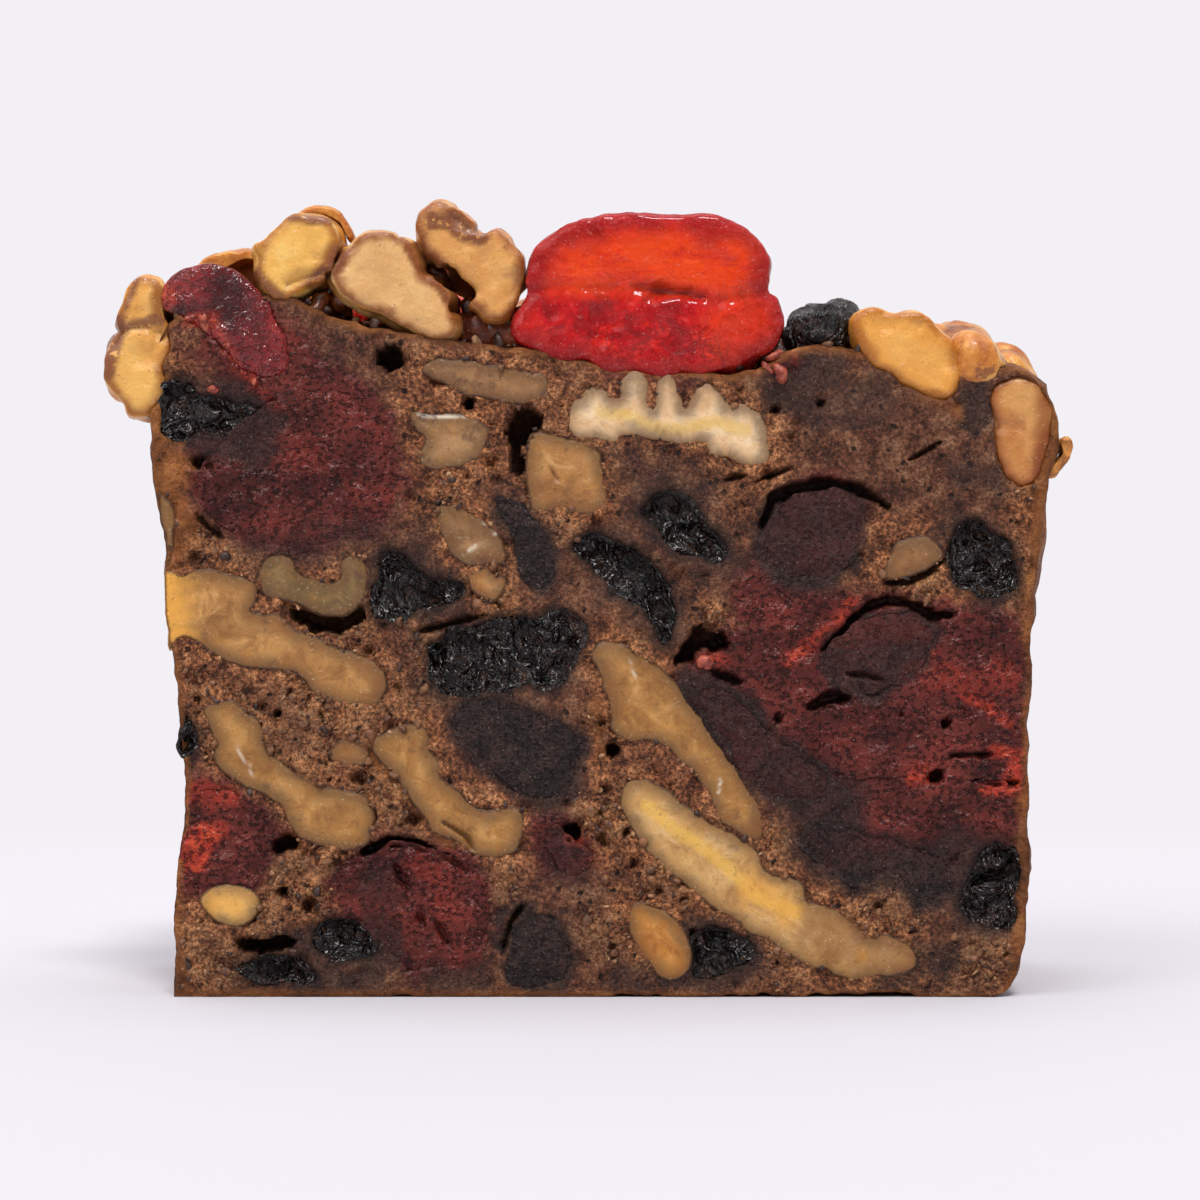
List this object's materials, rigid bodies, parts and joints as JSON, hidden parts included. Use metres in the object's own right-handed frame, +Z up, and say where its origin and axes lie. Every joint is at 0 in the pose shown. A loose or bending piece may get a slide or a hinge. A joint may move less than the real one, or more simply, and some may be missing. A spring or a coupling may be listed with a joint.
{
  "type": "fruit cake slice",
  "caption": "Upright slice of dark loaf fruit cake with walnuts, raisins and cherries in its cut face, and a topping of glazed nuts and red candied cherry.",
  "frame": {"origin": "middle of the base, where the slice stands", "axes": "+Z up, +X along the width of the cut face, +Y through the thickness away from the front cut face, which looks along -Y"},
  "size_m": [0.0792, 0.028, 0.0661],
  "materials": {
    "crumb": "open, moist dark crumb",
    "walnut": "cut nut, silky",
    "almond": "cut nut, silky",
    "glazed_nut": "nut under a thin clear glaze",
    "raisin": "wet, wrinkled skin",
    "prune": "cut dried fruit, grainy",
    "dark_cherry": "cut soaked cherry, moist",
    "glace_cherry": "translucent candied flesh"
  },
  "bodies": {
    "root": {"almond_01": "almond", "almond_02": "almond", "crumb": "crumb", "dark_cherry_01": "dark_cherry", "dark_cherry_02": "dark_cherry", "dark_cherry_03": "dark_cherry", "dark_cherry_04": "dark_cherry", "dark_cherry_05": "dark_cherry", "dark_cherry_06": "dark_cherry", "dark_cherry_07": "dark_cherry", "dark_cherry_08": "dark_cherry", "dark_cherry_09": "dark_cherry", "glace_cherry_01": "glace_cherry", "glace_cherry_02": "glace_cherry", "glazed_nut_01": "glazed_nut", "glazed_nut_02": "glazed_nut", "glazed_nut_03": "glazed_nut", "glazed_nut_04": "glazed_nut", "glazed_nut_05": "glazed_nut", "glazed_nut_06": "glazed_nut", "glazed_nut_07": "glazed_nut", "glazed_nut_08": "glazed_nut", "glazed_nut_09": "glazed_nut", "glazed_nut_10": "glazed_nut", "glazed_nut_11": "glazed_nut", "glazed_nut_12": "glazed_nut", "glazed_nut_13": "glazed_nut", "glazed_nut_14": "glazed_nut", "glazed_nut_15": "glazed_nut", "prune_01": "prune", "prune_02": "prune", "prune_03": "prune", "prune_04": "prune", "prune_05": "prune", "prune_06": "prune", "prune_07": "prune", "raisin_01": "raisin", "raisin_02": "raisin", "raisin_03": "raisin", "raisin_04": "raisin", "raisin_05": "raisin", "raisin_06": "raisin", "raisin_07": "raisin", "raisin_08": "raisin", "raisin_09": "raisin", "raisin_10": "raisin", "raisin_11": "raisin", "raisin_12": "raisin", "walnut_01": "walnut", "walnut_02": "walnut", "walnut_03": "walnut", "walnut_04": "walnut", "walnut_05": "walnut", "walnut_06": "walnut", "walnut_07": "walnut", "walnut_08": "walnut", "walnut_09": "walnut", "walnut_10": "walnut", "walnut_11": "walnut", "walnut_12": "walnut"}
  },
  "joints": []
}
